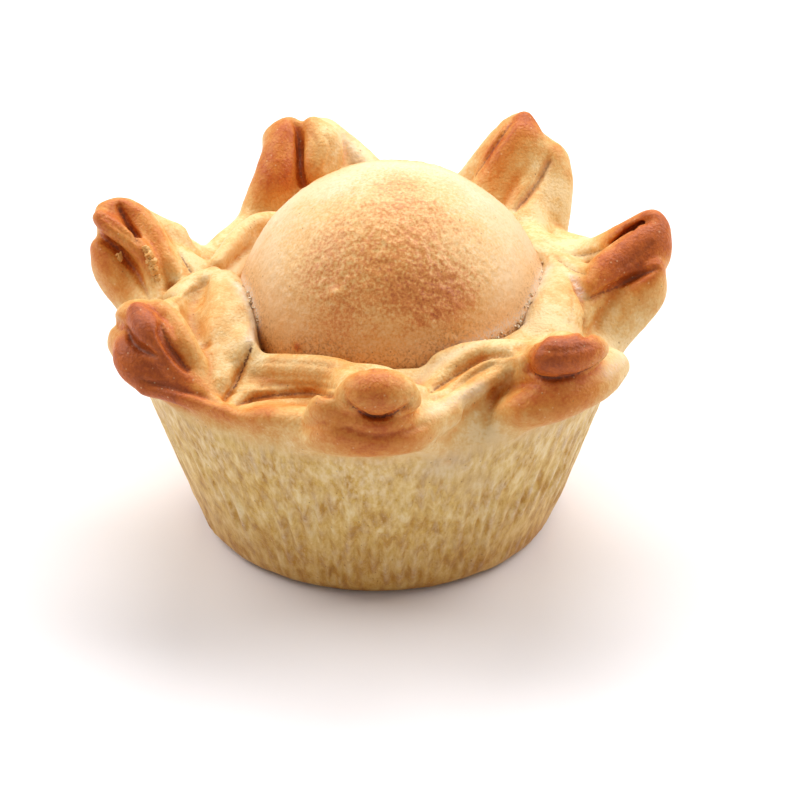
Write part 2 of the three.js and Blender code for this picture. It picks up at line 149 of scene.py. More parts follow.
# The folds that are pressed onto the case, each with the length over which it melts into it. A
# station of a fold is its pixel column and row in the view, its Y, and half its width across the
# view and half its depth along it.
FOLDS = {
    "back_left_lobe": (1.4, [
        (260, 210, 29.5, 3.0, 3.2), (274, 182, 31.2, 3.7, 3.5), (281, 152, 34.6, 3.0, 3.2),
        (289, 130, 38, 2.0, 2.6),
    ]),
    "back_left_tail": (1.4, [
        (336, 138, 38.6, 2.0, 2.4), (352, 151, 37.5, 2.2, 2.4), (374, 172, 33, 2.2, 2.4),
    ]),
    "back_left_tongue": (0.5, [
        (314, 129, 38, 2.0, 2.6), (323, 146, 34.8, 3.4, 3.0), (318, 165, 32.6, 3.2, 3.0),
        (311, 174, 31.8, 2.5, 2.6),
    ]),
    "back_right_lobe": (1.2, [
        (548, 230, 23.0, 3.4, 2.4), (550, 204, 25.2, 3.6, 2.4), (558, 176, 28.6, 2.5, 2.4),
        (553, 155, 30.5, 1.5, 2.0),
    ]),
    "back_right_petal": (0.7, [
        (488, 207, 25, 4.4, 2.4), (506, 180, 27.6, 5.2, 2.6), (517, 158, 29.4, 5.0, 2.6),
        (521, 140, 31.0, 3.8, 2.4), (524, 121, 34.2, 1.6, 2.0),
    ]),
    "right_back_rim": (0.8, [
        (604, 250, 8, 1.2, 2.0), (624, 234, 7, 1.4, 2.2), (642, 221, 7, 1.4, 2.2),
        (654, 218, 6, 1.4, 2.2), (661, 228, 4.5, 1.5, 2.2), (660, 244, 2.8, 1.6, 2.2),
    ]),
    "right_ledge": (1.2, [
        (654, 268, -1, 1.8, 2.4), (647, 282, -1.6, 2.6, 2.8), (631, 301, -3, 2.8, 2.8),
        (613, 325, -5, 2.6, 2.6),
    ]),
    "right_front_roll": (0.8, [
        (590, 288, -3.6, 2.0, 2.6), (606, 274, -1.4, 3.3, 3.0), (628, 259, 0.9, 3.5, 3.0),
        (646, 245, 2.4, 3.2, 3.0), (655, 234, 3.8, 2.2, 2.6),
    ]),
    "right_upper_band": (1.2, [
        (522, 232, 22, 1.6, 2.0), (552, 239, 20, 1.9, 2.2), (577, 246, 16.4, 1.9, 2.2),
        (606, 252, 11.4, 1.6, 2.2),
    ]),
    "right_second_band": (1.2, [
        (526, 244, 12, 1.6, 2.2), (548, 256, 9.5, 1.7, 2.4), (566, 265, 7, 1.7, 2.4),
        (584, 276, 3.6, 1.5, 2.2),
    ]),
    "right_cheek": (1.0, [
        (556, 278, 2, 2.2, 2.6), (558, 294, -3.6, 3.8, 3.2), (556, 314, -9, 5.0, 3.6),
        (550, 336, -14.5, 4.6, 3.2),
    ]),
    "front_right_ledge": (2.0, [
        (500, 415, -32.6, 1.7, 2.4), (526, 409, -34.4, 2.9, 2.8), (548, 404, -34, 3.0, 2.8),
        (575, 394, -32.2, 2.9, 2.8), (600, 381, -28.6, 2.8, 2.6), (615, 367, -24, 2.2, 2.4),
    ]),
    "front_right_nub": (0.5, [
        (540, 359, -32.6, 2.0, 2.6), (551, 357, -32.4, 3.2, 3.4), (567, 356, -31.6, 3.3, 3.6),
        (583, 352, -30.4, 3.1, 3.4), (594, 349, -28.8, 2.1, 2.6),
    ]),
    "right_trough": (2.0, [
        (440, 392, -30, 1.8, 2.0), (466, 380, -28.4, 2.2, 2.2), (492, 366, -26.4, 2.2, 2.2),
        (516, 358, -25, 2.0, 2.2),
    ]),
    "right_band": (0.9, [
        (430, 392, -30, 1.4, 2.0), (444, 375, -26.8, 1.7, 2.2), (472, 357, -25, 1.7, 2.2),
        (500, 350, -23, 1.7, 2.2), (530, 352, -21.4, 1.5, 2.2),
    ]),
    "right_lip": (1.2, [
        (416, 409, -36.5, 1.4, 2.6), (440, 406, -34.8, 1.6, 2.6), (462, 397, -32.2, 1.6, 2.6),
        (482, 386, -30.2, 1.5, 2.6), (502, 374, -28.4, 1.4, 2.4),
    ]),
    "front_ledge": (1.4, [
        (302, 430, -36, 1.6, 2.4), (328, 437, -40.4, 2.6, 2.6), (352, 439, -42.4, 2.8, 2.6),
        (380, 438, -43.2, 2.8, 2.6), (408, 434, -42.2, 2.8, 2.6), (430, 424, -39.2, 2.4, 2.6),
        (448, 414, -36.0, 2.0, 2.6),
    ]),
    "front_shoulder": (0.5, [
        (318, 414, -39.0, 2.0, 2.4), (329, 407, -41.0, 2.7, 2.8), (345, 403, -41.2, 2.4, 2.6),
    ]),
    "front_band": (0.6, [
        (254, 370, -20.6, 2.4, 2.2), (285, 371, -23.2, 2.8, 2.2), (318, 373, -26.4, 2.7, 2.2),
        (350, 377, -28.8, 2.4, 2.2), (384, 380, -30.4, 2.1, 2.2), (404, 392, -32.4, 1.9, 2.2),
        (416, 404, -34.2, 1.6, 2.0),
    ]),
    "front_under_band": (0.6, [
        (230, 400, -25.6, 0.9, 1.8), (244, 394, -25.6, 1.1, 1.8), (262, 391, -26, 0.8, 1.6),
    ]),
    "front_left_slope": (2.6, [
        (246, 418, -31.6, 1.4, 3.0), (270, 419, -33.6, 2.2, 3.4), (300, 421, -35.8, 2.0, 3.2),
    ]),
    "front_nub": (0.5, [
        (352, 396, -41.4, 2.4, 3.0), (363, 393, -42.2, 3.4, 3.8), (378, 392, -42.6, 3.6, 4.0),
        (394, 394, -42.2, 3.4, 3.8), (405, 398, -41.2, 2.2, 3.0),
    ]),
    "left_cheek": (0.8, [
        (224, 288, 0, 3.0, 3.0), (228, 308, -6.5, 4.2, 3.6), (230, 330, -12.5, 4.2, 3.6),
        (221, 357, -16.6, 4.2, 3.6), (221, 386, -23.6, 3.0, 2.8),
    ]),
    "front_left_lobe": (0.6, [
        (126, 348, -19.6, 1.9, 2.4), (131, 362, -21.6, 2.6, 3.0), (148, 377, -23.4, 2.6, 3.0),
        (172, 386, -24.4, 1.9, 2.4), (196, 394, -25.8, 1.2, 2.0),
    ]),
    "front_left_crest": (0.8, [
        (139, 314, -17, 1.8, 2.4), (151, 334, -21, 2.7, 3.0), (166, 358, -22.4, 2.6, 3.0),
        (184, 379, -24.4, 2.3, 2.6), (204, 394, -26.2, 1.6, 2.2),
    ]),
    "front_left_back_arm": (0.8, [
        (146, 310, -14, 1.6, 2.2), (160, 311, -15, 1.8, 2.4), (177, 325, -17.6, 1.6, 2.4),
        (190, 349, -21.2, 1.6, 2.4), (202, 378, -23, 1.5, 2.4), (216, 400, -25.4, 1.2, 2.0),
    ]),
    "front_left_hem": (0.9, [
        (146, 389, -24.4, 1.0, 2.0), (176, 394, -26.6, 1.5, 2.0), (205, 404, -28.4, 1.6, 2.0),
        (228, 413, -31, 1.4, 2.0), (240, 418, -32.6, 0.9, 1.6),
    ]),
    "right_saddle": (2.2, [
        (536, 258, 8, 2.4, 3.0), (560, 270, 4.4, 2.6, 3.0), (584, 286, 0, 2.4, 3.0),
    ]),
    "right_back_saddle": (2.2, [
        (532, 242, 15, 2.0, 3.0), (560, 250, 13, 2.2, 3.0), (590, 258, 9, 1.8, 2.6),
    ]),
    "left_ledge": (1.2, [
        (102, 249, 8.4, 1.9, 2.6), (112, 268, 6.6, 2.6, 3.0), (128, 290, 4.6, 2.8, 3.0),
        (144, 308, 2, 2.6, 2.8),
    ]),
    "left_arch": (0.8, [
        (106, 212, 12, 1.8, 2.2), (120, 208, 13.6, 1.8, 2.4), (140, 217, 12.8, 1.9, 2.4),
        (156, 239, 9.4, 1.9, 2.4), (169, 264, 6.0, 1.8, 2.4), (182, 284, 4.4, 1.5, 2.2),
    ]),
    "left_inner_lobe": (0.8, [
        (101, 218, 9.4, 1.4, 2.2), (112, 228, 8.4, 1.8, 2.4), (132, 242, 7.0, 1.8, 2.4),
        (150, 262, 5.0, 1.6, 2.2), (160, 282, 4.4, 1.4, 2.0),
    ]),
    "left_back_lip": (1.2, [
        (160, 234, 15, 1.3, 2.2), (180, 243, 16, 1.6, 2.4), (203, 257, 17, 1.4, 2.4),
    ]),
    "left_flap_ridge": (0.8, [
        (172, 296, 0, 1.2, 1.8), (192, 284, 2, 1.4, 2.0), (214, 275, 3, 1.4, 2.0),
    ]),
    "left_flap_fill": (2.0, [(186, 299, -2, 1.8, 2.6), (205, 291, 0, 2.0, 2.6)]),
    "back_band": (1.0, [
        (215, 267, 8, 1.3, 2.2), (237, 240, 15.4, 1.7, 2.2), (258, 223, 19.6, 1.7, 2.2),
        (280, 221, 23, 1.5, 2.2),
    ]),
    "back_lip": (1.2, [(206, 256, 18, 1.3, 2.2), (224, 240, 22, 1.5, 2.2), (246, 223, 27, 1.5, 2.4)]),
}

# The hollows that are taken out before the folds go on, in the same stations.
HOLLOWS = {
    "back_right_edge": (1.6, [(436, 158, 36, 4, 9), (460, 128, 37, 4, 9), (499, 92, 38, 4, 9)]),
    "front_left_of_nub": (1.2, [
        (338, 366, -38, 1.8, 6), (324, 382, -38.5, 2.4, 6), (312, 398, -38, 1.8, 5),
    ]),
    "front_behind_nub": (1.2, [
        (340, 362, -34, 1.8, 3), (366, 360, -34.5, 1.8, 3), (398, 366, -35, 1.8, 3),
    ]),
    "beside_left_cheek": (1.2, [
        (268, 318, -14, 2.2, 6), (272, 335, -20, 2.8, 6), (300, 339, -23, 2.4, 5),
        (330, 343, -25, 2.2, 4),
    ]),
    "left_skyline": (1.6, [(184, 226, 18, 1.6, 14), (203, 236, 20, 2.2, 14), (218, 224, 22, 1.6, 14)]),
    "front_left_notch": (0.8, [(108, 321, -20, 1.8, 7), (121, 327, -20, 1.0, 7)]),
    "above_right_nub": (1.2, [(520, 330, -30, 1.8, 6), (516, 346, -31, 1.8, 5)]),
}

# The slots that are cut after them, in the same stations.
SLOTS = {
    "left_slot": (0.6, [
        (119, 206, 10.8, 0.6, 1.6), (128, 224, 9.0, 0.8, 1.8), (139, 243, 7.4, 0.6, 1.6),
    ]),
    "right_slot": (0.6, [
        (614, 244, 6.0, 0.5, 1.4), (631, 231, 5.7, 0.7, 1.5), (646, 222, 6.0, 0.5, 1.4),
    ]),
}

# The grooves that are drawn into it along the view's lines: half width, bite and pixels.
GROOVES = {
    "back_left_groove": (0.7, 1.0, [
        (294, 120), (299, 133), (300, 155), (300, 170), (303, 184), (311, 190),
    ]),
    "back_left_dimple": (1.6, 0.5, [(338, 140), (334, 156), (326, 172)]),
    "back_right_layer": (0.8, 0.7, [(512, 119), (498, 140), (487, 156), (475, 178)]),
    "back_right_seam": (0.7, 0.8, [(548, 158), (539, 181), (527, 196), (515, 210)]),
    "right_crease": (0.7, 0.8, [(588, 300), (608, 290), (630, 279), (656, 268)]),
    "front_right_crease": (0.5, 0.9, [(527, 371), (546, 380), (567, 378), (588, 371), (604, 360)]),
    "front_right_side": (0.8, 0.6, [(542, 338), (533, 347), (528, 362), (526, 372)]),
    "front_crease": (0.5, 0.9, [
        (342, 392), (346, 403), (356, 411), (371, 417), (388, 417), (404, 409), (413, 400),
    ]),
    "front_ledge_line": (0.8, 0.5, [(322, 424), (346, 430), (377, 437), (406, 431), (428, 421)]),
    "left_crease": (0.9, 0.9, [(95, 231), (106, 240), (122, 253), (138, 276), (150, 300)]),
    "cheek_crease": (0.7, 0.8, [(250, 348), (246, 359), (236, 381), (224, 401)]),
    "front_left_notch_line": (0.8, 1.0, [(126, 328), (131, 340), (141, 349), (154, 355)]),
    "front_left_groove": (0.9, 1.2, [(161, 323), (165, 338), (174, 352), (188, 370)]),
    "strap_crease": (0.8, 1.0, [(236, 404), (260, 396), (283, 393), (304, 392), (331, 395)]),
    "front_left_fold_line": (0.7, 0.4, [(141, 380), (176, 389), (204, 396), (219, 402)]),
    "front_right_left_crease": (0.8, 0.35, [
        (512, 372), (500, 382), (494, 398), (487, 416), (486, 428),
    ]),
    "left_cheek_valley": (2.0, 1.8, [(203, 281), (195, 296), (191, 312), (195, 328), (203, 343)]),
    "right_cheek_valley": (1.0, 1.2, [(574, 279), (580, 290), (586, 304), (588, 318), (585, 336)]),
    "right_band_groove": (0.8, 0.8, [(434, 390), (448, 379), (466, 366), (487, 354), (510, 352)]),
}
ROLL_STEP = 0.4
FORWARD_STEP = 0.02
GROOVE_MELT = 0.8
GROOVE_ROUNDS = 4
GROOVE_TAPER = 4
GROOVE_END = 0.45
SEARCH_STEP = 0.1
SEARCH_REACH = 70
LINE_STEPS = 8
LINE_REACH = 4


def smooth_path(points, share):
    """Catmull-Rom curve through points; share runs from 0 at the first to 1 at the last."""
    points = np.asarray(points, float)
    last = len(points) - 1
    reached = min(max(share, 0), 1) * last
    start = min(int(reached), last - 1)
    t = reached - start
    before = points[max(start - 1, 0)]
    here = points[start]
    after = points[start + 1]
    beyond = points[min(start + 2, last)]
    slope_here = (after - before) / 2
    slope_after = (beyond - here) / 2
    bend = 2 * (here - after) + slope_here + slope_after
    sweep = 3 * (after - here) - 2 * slope_here - slope_after
    return ((bend * t + sweep) * t + slope_here) * t + here


def roll_distance(path, girths, margin):
    """The grid's cells near a roll of dough, and the distance of each from its skin."""
    low = path.min(0) - girths.max() - margin
    high = path.max(0) + girths.max() + margin
    first = np.maximum(np.floor((low - DOUGH_LOW) / CELL).astype(int), 0)
    last = np.minimum(np.ceil((high - DOUGH_LOW) / CELL).astype(int), np.array(DOUGH_COUNTS) - 1)
    block = tuple(slice(a, b + 1) for a, b in zip(first, last))
    axes = [DOUGH_LOW[i] + CELL * np.arange(first[i], last[i] + 1) for i in range(3)]
    cells = np.stack(np.meshgrid(*axes, indexing="ij"), -1).astype(np.float32)
    length = np.linalg.norm(np.diff(path, axis=0), axis=1).sum()
    samples = max(3, int(length / (ROLL_STEP * girths.min())))
    distance = np.full(cells.shape[:3], np.inf, np.float32)
    for share in np.linspace(0, 1, samples):
        wide, deep = smooth_path(girths, share)
        forward = smooth_path(path, share + FORWARD_STEP) - smooth_path(path, share - FORWARD_STEP)
        forward /= np.linalg.norm(forward)
        sideways = np.cross(forward, VIEW_FORWARD)
        sideways /= np.linalg.norm(sideways)
        inwards = np.cross(sideways, forward)
        turned = np.stack([sideways / wide, inwards / deep, forward / wide], 1).astype(np.float32)
        offset = cells - smooth_path(path, share).astype(np.float32)
        ratio = np.linalg.norm(offset @ turned, axis=-1) + 1e-6
        distance = np.minimum(distance, np.linalg.norm(offset, axis=-1) * (1 - 1 / ratio))
    return block, distance


def press(sign, path, girths, melt_length):
    """Presses a roll onto the dough where sign is 1, and its print into the dough where it is -1."""
    block, distance = roll_distance(path, girths, 2 * melt_length)
    old = sign * dough[block]
    near = np.maximum(melt_length - np.abs(old - distance), 0)
    dough[block] = sign * (np.minimum(old, distance) - near ** 2 / (4 * melt_length))


def press_stations(sign, melt_length, stations):
    path = np.array([seen_at(column, row, depth) for column, row, depth, _, _ in stations])
    girths = np.array([(wide, deep) for _, _, _, wide, deep in stations])
    press(sign, path, girths, melt_length)


def grid_at(grid, places):
    """The values of a grid at places, each from the nearest cell."""
    cells = np.rint((places - DOUGH_LOW) / CELL).astype(int)
    cells = np.clip(cells, 0, np.array(DOUGH_COUNTS) - 1)
    return grid[cells[..., 0], cells[..., 1], cells[..., 2]]


def dough_skin_at(column, row):
    """The first point of the dough's skin behind a pixel, and the outward direction there."""
    line = sight_line(column, row)
    line /= np.linalg.norm(line)
    steps = np.arange(VIEW_DISTANCE - SEARCH_REACH, VIEW_DISTANCE + SEARCH_REACH, SEARCH_STEP)
    inside = np.nonzero(grid_at(dough, EYE + steps[:, None] * line) < 0)[0]
    if len(inside) == 0:
        return None
    place = EYE + steps[inside[0]] * line
    shifts = 2 * CELL * np.eye(3)
    outward = grid_at(dough, place + shifts) - grid_at(dough, place - shifts)
    return place, outward / np.linalg.norm(outward)


def draw_groove(half_width, bite, pixels):
    """Draws a round tool along a line of the view, that bites so deep and lifts at both ends."""
    found = []
    for share in np.linspace(0, 1, LINE_STEPS * len(pixels)):
        hit = dough_skin_at(*smooth_path(pixels, share))
        if hit is not None:
            found.append(hit[0] + (half_width - bite) * hit[1])
    path = np.array(found)
    for _ in range(GROOVE_ROUNDS):
        path[1:-1] = (path[:-2] + 2 * path[1:-1] + path[2:]) / 4
    count = len(path)
    ends = np.minimum(np.linspace(0, GROOVE_TAPER, count), np.linspace(GROOVE_TAPER, 0, count))
    taper = np.minimum(1, GROOVE_END + (1 - GROOVE_END) * ends)
    press(-1, path, half_width * np.column_stack([taper, taper]), GROOVE_MELT)


for melt_length, stations in HOLLOWS.values():
    press_stations(-1, melt_length, stations)
for melt_length, stations in FOLDS.values():
    press_stations(1, melt_length, stations)
for melt_length, stations in SLOTS.values():
    press_stations(-1, melt_length, stations)
for half_width, bite, pixels in GROOVES.values():
    draw_groove(half_width, bite, pixels)
dough = melt(dough, 1)


def dough_mesh(name, distances):
    """The skin of the dough as a mesh."""
    grid = openvdb.FloatGrid(BAND_CELLS * CELL)
    grid.copyFromArray(np.ascontiguousarray(distances, np.float32))
    corners, faces = grid.convertToQuads(0.0)
    mesh = bpy.data.meshes.new(name)
    mesh.from_pydata(((corners * CELL + DOUGH_LOW) * MILLIMETRE).tolist(), [], faces.tolist())
    piece = bpy.data.objects.new(name, mesh)
    bpy.context.scene.collection.objects.link(piece)
    return piece


def outward_of(piece):
    flat = np.empty(len(piece.data.vertices) * 3, np.float32)
    piece.data.vertex_normals.foreach_get("vector", flat)
    return flat.reshape(-1, 3).astype(float)


def lumps(places, size, shift=0):
    """Soft noise between about -1 and 1 whose lumps are size across; another shift gives others."""
    return np.array([noise.noise(place) for place in ((places + shift) / size).tolist()])


def ease(low, high, values):
    """Rises softly from 0 at low to 1 at high."""
    share = np.clip((values - low) / (high - low), 0, 1)
    return share * share * (3 - 2 * share)


def skin_tree(piece):
    """A search tree of a piece's faces."""
    faces = [tuple(face.vertices) for face in piece.data.polygons]
    return BVHTree.FromPolygons((places_of(piece) / MILLIMETRE).tolist(), faces)


def touched(tree, column, row):
    """The first point of a piece's skin behind a pixel, and its outward direction, or None twice."""
    return tree.ray_cast(Vector(EYE), Vector(sight_line(column, row)).normalized())[:2]


def drawn_line(tree, pixels):
    """Points on a piece's skin along a line of the view."""
    shares = np.linspace(0, 1, LINE_STEPS * len(pixels))
    hits = [touched(tree, *smooth_path(pixels, share))[0] for share in shares]
    return np.array([hit for hit in hits if hit is not None])


def side_of_line(places, outward, line, reach):
    """The signed distance of every place from a line on the skin, and 1 beside it within reach."""
    signed = np.full(len(places), float(reach))
    present = np.zeros(len(places))
    boxed = np.all((places > line.min(0) - reach) & (places < line.max(0) + reach), axis=1)
    near = np.nonzero(boxed)[0]
    nearest = np.full(len(near), np.inf)
    for index in range(len(line) - 1):
        span = line[index + 1] - line[index]
        length = max(np.linalg.norm(span), 1e-6)
        offset = places[near] - line[index]
        along = offset @ span / length ** 2
        away = offset - np.clip(along, 0, 1)[:, None] * span
        distance = np.linalg.norm(away, axis=1)
        side = np.sign(np.einsum("ij,ij->i", np.cross(outward[near], span), away))
        closer = distance < nearest
        nearest[closer] = distance[closer]
        signed[near[closer]] = (side * distance)[closer]
        past_start = (index == 0) & (along < 0)
        past_end = (index == len(line) - 2) & (along > 1)
        present[near[closer]] = np.where((past_start | past_end)[closer], 0, 1)
    present *= 1 - ease(0.5 * reach, reach, np.abs(signed))
    return signed, present


def line_distance(places, line, reach):
    """The distance of every place from a line; far ones are only said to be far."""
    distance = np.full(len(places), 10.0 * reach)
    near = np.all((places > line.min(0) - reach) & (places < line.max(0) + reach), axis=1)
    spots = places[near]
    nearest = distance[near]
    for start, end in zip(line[:-1], line[1:]):
        span = end - start
        share = np.clip((spots - start) @ span / max(span @ span, 1e-9), 0, 1)
        nearest = np.minimum(nearest, np.linalg.norm(spots - start - share[:, None] * span, axis=1))
    distance[near] = nearest
    return distance


def widths_from_line(tree, places, half_width, pixels):
    """How far every place is from a line of the view, in half widths of that line."""
    return line_distance(places, drawn_line(tree, pixels), LINE_REACH * half_width) / half_width


def lines_amount(tree, places, lines):
    """How strongly soft lines of the view cover every place."""
    covered = np.zeros(len(places))
    for half_width, strength, pixels in lines:
        apart = widths_from_line(tree, places, half_width, pixels)
        covered = np.maximum(covered, strength * np.exp(-apart ** 2))
    return covered


def spots_amount(tree, places, spots):
    """How strongly soft round spots cover every place."""
    bare = np.ones(len(places))
    for column, row, radius, strength in spots:
        centre = touched(tree, column, row)[0]
        if centre is not None:
            apart = np.linalg.norm(places - np.array(centre), axis=1) / radius
            bare *= 1 - strength * np.exp(-apart ** 2)
    return 1 - bare


def set_places(piece, places):
    piece.data.vertices.foreach_set("co", np.ascontiguousarray(places * MILLIMETRE, float).ravel())
    piece.data.update()


def set_amount(piece, name, values):
    attribute = piece.data.attributes.new(name, "FLOAT", "POINT")
    attribute.data.foreach_set("value", np.ascontiguousarray(values, np.float32))


pastry_case = dough_mesh("pastry_case", dough)
case_places = places_of(pastry_case) / MILLIMETRE
case_outward = outward_of(pastry_case)
case_skin = skin_tree(pastry_case)
case_height = case_places[:, 2]

# The wall of the case keeps the print of the cup's flutes: uneven upright ridges that wander,
# fade and break off, floury on their crests, and most of all on the two flanks, where the extra pale
# flour is partly a painted highlight.
FLUTES = 96
FLUTE_HEIGHT = 0.32
FLUTE_WANDER = 2.6
FLUTE_TOP = (23, 29)
WANDER_SIZE = 5.0
FADE_SIZE = 6.0
BREAK_SIZE = 2.4
UPRIGHT_STRETCH = 0.35
WALL_RADIUS = 30
WALL_FACING = (0.15, 0.5)
WALL_FOOT = (0.5, 4)
WALL_TOP = (30, 34)
WALL_INSIDE = (24, 27)
FLANK = (12, 26)
radius = np.hypot(case_places[:, 0], case_places[:, 1])
turn = np.arctan2(case_places[:, 1], case_places[:, 0])
facing = (case_outward[:, :2] * case_places[:, :2]).sum(1) / np.maximum(radius, 1)
wall_share = ease(*WALL_FACING, facing) * (1 - ease(*WALL_TOP, case_height)) * ease(*WALL_INSIDE, radius)
around = np.column_stack([
    WALL_RADIUS * np.cos(turn), WALL_RADIUS * np.sin(turn), UPRIGHT_STRETCH * case_height
])
flute = np.cos(FLUTES * turn + FLUTE_WANDER * lumps(around, WANDER_SIZE))
strong = np.clip(0.4 + 1.2 * lumps(around * (1, 1, 2), FADE_SIZE, shift=40), 0, 1)
ridge = wall_share * strong * np.sign(flute) * np.abs(flute) ** 0.8 * ease(*WALL_FOOT, case_height)
rise = FLUTE_HEIGHT * ridge * (1 - ease(*FLUTE_TOP, case_height))
broken = np.clip(0.5 + 1.5 * lumps(case_places, BREAK_SIZE, shift=20), 0, 1)
crest_flour_and_flank_light = (0.3 + 0.45 * ease(*FLANK, np.abs(case_places[:, 0]))) * broken * np.clip(ridge, 0, 1)

# The dough is nowhere quite even, and its thin creases, its flour and its browning are laid on:
# creases (half width, depth, how dark their painted shade is, pixels), cracks (strength of their
# painted shade, pixels), floury lines (half width, strength, pixels), and browned and chalky spots
# (pixel, radius, strength).
CREASES = [
    (0.35, 0.4, 0.4, [(549, 162), (538, 182), (527, 197), (515, 210)]),
    (0.3, 0.3, 0.5, [(512, 119), (497, 143), (478, 170), (473, 178)]),
    (0.3, 0.4, 0.5, [(252, 344), (247, 356), (236, 381), (224, 401)]),
    (0.35, 0.3, 0.5, [(348, 402), (356, 410), (371, 416), (388, 416), (400, 411), (410, 404)]),
    (0.35, 0.3, 0.5, [(530, 372), (545, 378), (567, 377), (585, 371), (602, 360)]),
    (0.5, 0.2, 0.3, [(347, 428), (377, 437), (406, 431), (424, 424)]),
    (0.4, 0.25, 0.4, [(230, 394), (257, 386), (297, 384), (335, 388)]),
    (0.4, 0.35, 0.7, [(237, 404), (260, 397), (283, 394), (304, 393), (331, 396)]),
    (0.4, 0.3, 0.4, [(262, 384), (255, 393), (250, 402)]),
    (0.4, 0.2, 0.2, [(262, 362), (300, 363), (340, 367), (378, 371)]),
    (0.4, 0.15, 0.2, [(256, 376), (300, 377), (330, 379)]),
    (0.4, 0.45, 0.6, [(430, 391), (446, 381), (462, 371), (488, 358), (512, 355)]),
    (0.4, 0.45, 0.5, [(434, 399), (454, 388), (474, 374), (492, 364)]),
    (0.4, 0.2, 0.25, [(515, 371), (502, 386), (493, 404), (489, 424)]),
    (0.5, 0.2, 0.5, [(541, 349), (556, 351), (572, 350), (590, 345)]),
    (0.4, 0.35, 0.6, [(587, 299), (613, 289), (633, 278), (657, 268)]),
    (0.5, 0.3, 0.4, [(610, 247), (630, 232), (648, 220)]),
    (0.4, 0.25, 0.4, [(620, 268), (637, 257), (652, 243)]),
    (0.6, 0.5, 0.5, [(556, 256), (570, 266), (584, 273)]),
    (0.6, 0.5, 0.5, [(545, 240), (562, 250), (584, 254), (602, 250)]),
    (0.3, 0.2, 0.3, [(572, 297), (573, 310), (570, 324)]),
    (0.3, 0.3, 0.6, [(583, 318), (585, 328), (583, 336)]),
    (0.5, 0.4, 0.5, [(119, 206), (128, 223), (139, 241)]),
    (0.4, 0.3, 0.5, [(96, 232), (106, 240), (121, 252), (137, 274), (149, 298)]),
    (0.4, 0.25, 0.4, [(103, 216), (116, 226), (136, 242), (150, 262)]),
    (0.35, 0.4, 0.9, [(181, 253), (186, 262), (191, 271)]),
    (0.4, 0.3, 0.5, [(172, 306), (188, 293), (203, 283)]),
    (1.2, 0.7, 0.3, [(203, 281), (195, 296), (192, 312), (196, 328), (203, 343)]),
    (0.4, 0.4, 0.8, [(127, 328), (132, 341), (142, 350), (156, 356)]),
    (0.4, 0.4, 0.7, [(162, 325), (166, 339), (175, 353), (188, 370)]),
    (0.35, 0.3, 0.6, [(141, 380), (176, 389), (204, 397), (220, 403)]),
    (0.6, 0.2, 0.15, [(294, 121), (299, 133), (300, 155), (300, 170), (304, 185)]),
    (0.4, 0.2, 0.3, [(312, 134), (318, 150), (313, 168)]),
    (0.4, 0.2, 0.3, [(327, 136), (331, 150), (325, 166)]),
]
CRACKS = [
    (0.3, [(551, 158), (545, 171), (538, 182), (527, 197), (515, 211)]),
    (0.9, [(252, 346), (248, 356), (243, 368), (238, 381), (233, 390)]),
    (0.85, [(351, 406), (360, 412), (371, 416), (388, 416), (399, 411), (407, 406)]),
    (0.85, [(534, 374), (548, 378), (567, 377), (585, 371), (599, 362)]),
    (0.6, [(181, 253), (186, 262), (192, 272)]),
    (0.5, [(590, 298), (608, 291), (630, 280), (655, 269)]),
    (0.4, [(128, 329), (132, 341), (142, 350), (154, 355)]),
    (0.45, [(163, 328), (167, 340), (176, 354), (186, 367)]),
    (0.5, [(119, 207), (128, 224), (138, 240)]),
    (0.35, [(98, 233), (107, 241), (121, 252), (134, 270)]),
    (0.45, [(298, 131), (300, 155), (300, 170), (304, 184)]),
    (0.45, [(511, 121), (497, 143), (478, 170), (473, 178)]),
    (0.4, [(240, 403), (260, 397), (283, 394), (304, 393), (328, 395)]),
    (0.4, [(432, 390), (446, 381), (462, 371), (486, 359)]),
    (0.4, [(548, 242), (562, 250), (582, 254), (600, 250)]),
    (0.4, [(556, 256), (570, 266), (584, 273)]),
]
FLOUR_AND_HIGHLIGHT_LINES = [
    (0.9, 0.8, [(238, 284), (249, 305), (254, 326), (250, 340)]),
    (0.9, 0.3, [(420, 382), (443, 361), (467, 348), (493, 336), (524, 320)]),
    (0.9, 0.8, [(548, 268), (538, 287), (529, 306), (523, 324)]),
    (0.8, 0.7, [(572, 277), (577, 285), (581, 295)]),
    (0.8, 0.2, [(549, 164), (538, 182), (527, 197), (515, 210)]),
    # These three are flour and also a painted highlight along thin pale edges.
    (1.8, 0.5, [(344, 141), (356, 152), (370, 165)]),
    (1.1, 0.45, [(432, 411), (455, 399), (480, 387)]),
    (1.2, 0.45, [(608, 373), (619, 363), (625, 352)]),
]
